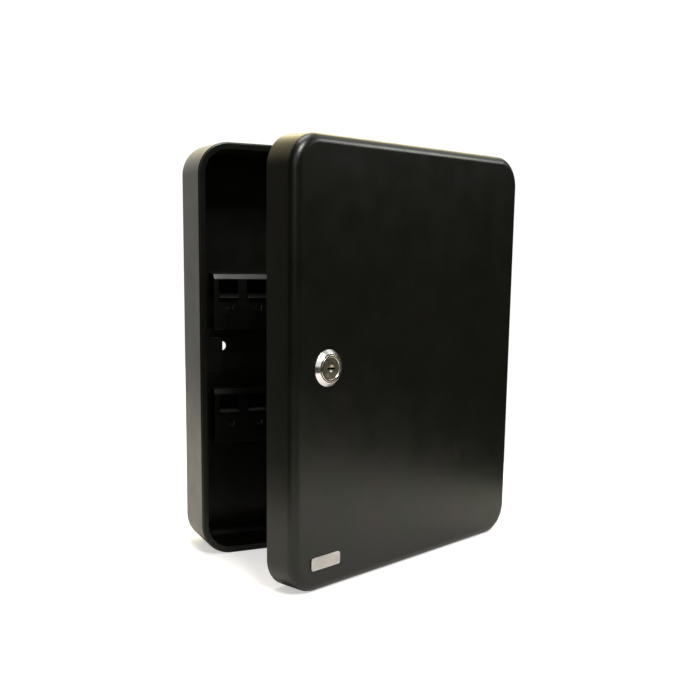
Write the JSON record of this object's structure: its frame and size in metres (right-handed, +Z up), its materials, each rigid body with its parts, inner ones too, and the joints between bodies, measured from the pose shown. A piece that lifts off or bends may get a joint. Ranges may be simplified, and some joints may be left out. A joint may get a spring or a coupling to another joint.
{
  "type": "key cabinet",
  "caption": "Wall-mounted steel key cabinet: a rounded body tray with rows of key hooks on folded rails, and a hinged tray door with a cam lock.",
  "frame": {"origin": "on the wall plane, midway between the two wall-fixing holes", "axes": "+Z up, +Y into the wall, so the door faces -Y; the hinges are at +X"},
  "size_m": [0.2479, 0.1602, 0.3],
  "materials": {
    "black_coat": "satin powder coat, fine texture",
    "black_fittings": "satin powder coat on the inner fittings",
    "zinc_steel": "bright zinc plate",
    "lock_chrome": "polished chrome plate",
    "plug_nickel": "turned, brushed nickel",
    "wafer_brass": "stamped brass",
    "plate_satin": "satin brushed",
    "adhesive_foam": "matte foam tape"
  },
  "bodies": {
    "body": {"body_shell": "black_coat", "key_rail_upper": "black_fittings", "key_rail_lower": "black_fittings", "key_hooks_upper": "black_fittings", "key_hooks_lower": "black_fittings", "strike_bracket": "black_fittings", "hinge_body_leaf_upper": "black_fittings", "hinge_body_leaf_lower": "black_fittings", "hinge_pin_upper": "zinc_steel", "hinge_pin_lower": "zinc_steel"},
    "door": {"door_shell": "black_coat", "hinge_door_leaf_upper": "black_fittings", "hinge_door_leaf_lower": "black_fittings", "lock_housing": "lock_chrome", "lock_trim_ring": "lock_chrome", "lock_nut": "zinc_steel", "nameplate": "plate_satin", "nameplate_adhesive": "adhesive_foam"},
    "plug": {"lock_plug": "plug_nickel", "lock_wafers": "wafer_brass", "wafer_springs": "zinc_steel", "stop_washer": "zinc_steel", "lock_cam": "zinc_steel", "cam_lock_washer": "zinc_steel", "cam_screw": "zinc_steel"}
  },
  "joints": [
    {"name": "door_swing", "type": "hinge", "parent": "body", "child": "door", "pos_m": [0.1205, -0.04775, -0.0015], "axis": [0, 0, 1], "range_deg": [-22, 148]},
    {"name": "lock_turn", "type": "hinge", "parent": "door", "child": "plug", "pos_m": [-0.06484, -0.15094, 0], "axis": [-0.3746, 0.9272, 0], "range_deg": [0, 90]}
  ]
}
